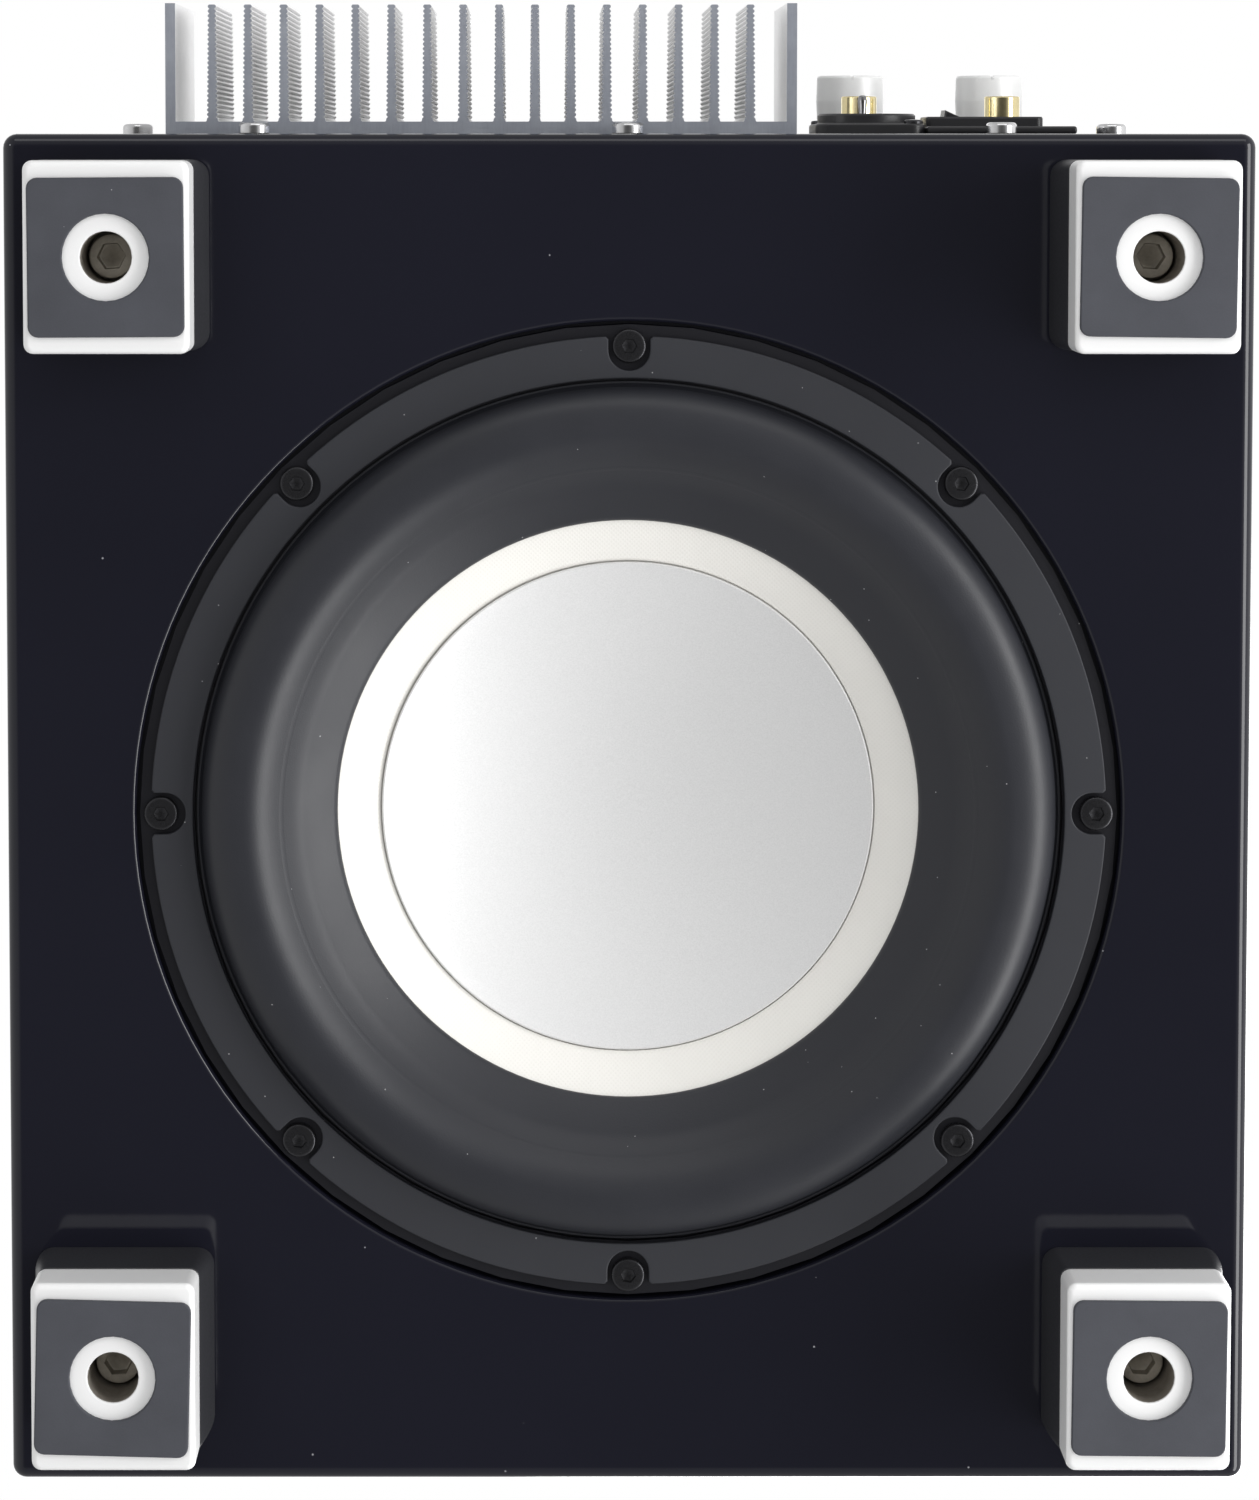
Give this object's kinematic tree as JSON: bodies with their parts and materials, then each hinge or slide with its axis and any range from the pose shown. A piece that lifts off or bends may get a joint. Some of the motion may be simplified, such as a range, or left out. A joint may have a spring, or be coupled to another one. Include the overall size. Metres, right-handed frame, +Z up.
{
  "type": "powered subwoofer",
  "caption": "Free-standing powered subwoofer with a lacquered box cabinet on block feet, a driver that faces the floor, and a rear amplifier plate with a finned heat sink.",
  "frame": {"origin": "on the floor, under the middle of the overall outline in X and Y", "axes": "+Z up, -Y towards the cabinet's front, +Y towards the amplifier plate and heat sink, +X to the right for someone who faces the front"},
  "size_m": [0.267, 0.3194, 0.295],
  "materials": {
    "cabinet_lacquer": "high gloss black lacquer over fibreboard",
    "frame_casting": "black powder coated casting",
    "trim_rubber": "matte dark grey rubber",
    "surround_rubber": "satin black rubber with soft highlights",
    "cone_fibre": "pale pressed paper fibre",
    "cap_aluminium": "satin silver with a fine sparkle",
    "spider_cloth": "woven treated cloth",
    "coil_copper": "enamelled copper winding",
    "plated_steel": "zinc plated steel",
    "ferrite": "dark grey ferrite",
    "black_screw": "black plated steel screws",
    "foot_plastic": "satin dark moulding",
    "foot_metal": "bright satin silver metal",
    "pad_rubber": "matte grey rubber, slightly blotchy",
    "bolt_metal": "dull nickel plate",
    "plate_paint": "fine textured black paint",
    "sink_aluminium": "extruded silver grey, finely ribbed",
    "circuit_board": "green circuit board",
    "transformer_wrap": "yellow tape over copper windings",
    "gold_plate": "gold plated",
    "socket_plastic": "moulded black plastic",
    "rocker_plastic": "smooth black plastic",
    "toggle_metal": "bright nickel plate",
    "plate_screw_chrome": "bright plated pan heads",
    "knob_aluminium": "turned satin aluminium",
    "lead_jacket": "red and black twin lead"
  },
  "bodies": {
    "cabinet": {"front_panel": "cabinet_lacquer", "rear_panel": "cabinet_lacquer", "left_panel": "cabinet_lacquer", "right_panel": "cabinet_lacquer", "top_panel": "cabinet_lacquer", "bottom_baffle": "cabinet_lacquer", "driver_basket": "frame_casting", "trim_ring": "trim_rubber", "surround": "surround_rubber", "spider": "spider_cloth", "top_plate": "plated_steel", "magnet": "ferrite", "yoke": "plated_steel", "amp_plate": "plate_paint", "heat_sink": "sink_aluminium", "amp_board": "circuit_board", "transformer": "transformer_wrap", "transformer_clamp": "plated_steel", "phono_socket_1": "gold_plate", "phono_socket_2": "gold_plate", "speaker_socket": "socket_plastic", "power_inlet": "socket_plastic", "toggle_bushing": "toggle_metal", "driver_lead": "lead_jacket", "driver_screw_1": "black_screw", "driver_screw_2": "black_screw", "driver_screw_3": "black_screw", "driver_screw_4": "black_screw", "driver_screw_5": "black_screw", "driver_screw_6": "black_screw", "driver_screw_7": "black_screw", "driver_screw_8": "black_screw", "plate_screw_1": "plate_screw_chrome", "plate_screw_2": "plate_screw_chrome", "plate_screw_3": "plate_screw_chrome", "plate_screw_4": "plate_screw_chrome", "plate_screw_5": "plate_screw_chrome", "foot_base_rear_right": "foot_plastic", "foot_cap_rear_right": "foot_metal", "foot_pad_rear_right": "pad_rubber", "foot_bolt_rear_right": "bolt_metal", "foot_base_rear_left": "foot_plastic", "foot_cap_rear_left": "foot_metal", "foot_pad_rear_left": "pad_rubber", "foot_bolt_rear_left": "bolt_metal", "foot_base_front_right": "foot_plastic", "foot_cap_front_right": "foot_metal", "foot_pad_front_right": "pad_rubber", "foot_bolt_front_right": "bolt_metal", "foot_base_front_left": "foot_plastic", "foot_cap_front_left": "foot_metal", "foot_pad_front_left": "pad_rubber", "foot_bolt_front_left": "bolt_metal"},
    "cone_assembly": {"cone": "cone_fibre", "dust_cap": "cap_aluminium", "voice_coil": "coil_copper"},
    "level_knob": {"knob_level": "knob_aluminium"},
    "crossover_knob": {"knob_crossover": "knob_aluminium"},
    "toggle": {"toggle_lever": "toggle_metal"},
    "rocker": {"power_rocker": "rocker_plastic"}
  },
  "joints": [
    {"name": "cone_travel", "type": "slide", "parent": "cabinet", "child": "cone_assembly", "axis": [0, 0, 1], "range_m": [-0.008, 0.008], "stiffness_N_per_m": 2500, "deforming": ["surround", "spider"]},
    {"name": "level_turn", "type": "hinge", "parent": "cabinet", "child": "level_knob", "pos_m": [-0.0882, 0.13125, 0.168], "axis": [0, 1, 0], "range_deg": [-150, 150]},
    {"name": "crossover_turn", "type": "hinge", "parent": "cabinet", "child": "crossover_knob", "pos_m": [-0.055, 0.13125, 0.168], "axis": [0, 1, 0], "range_deg": [-150, 150]},
    {"name": "toggle_flip", "type": "hinge", "parent": "cabinet", "child": "toggle", "pos_m": [-0.0545, 0.13185, 0.112], "axis": [1, 0, 0], "range_deg": [-20, 0]},
    {"name": "rocker_tip", "type": "hinge", "parent": "cabinet", "child": "rocker", "pos_m": [-0.0817, 0.1295, 0.1025], "axis": [0, 0, 1], "range_deg": [-20, 0]}
  ]
}
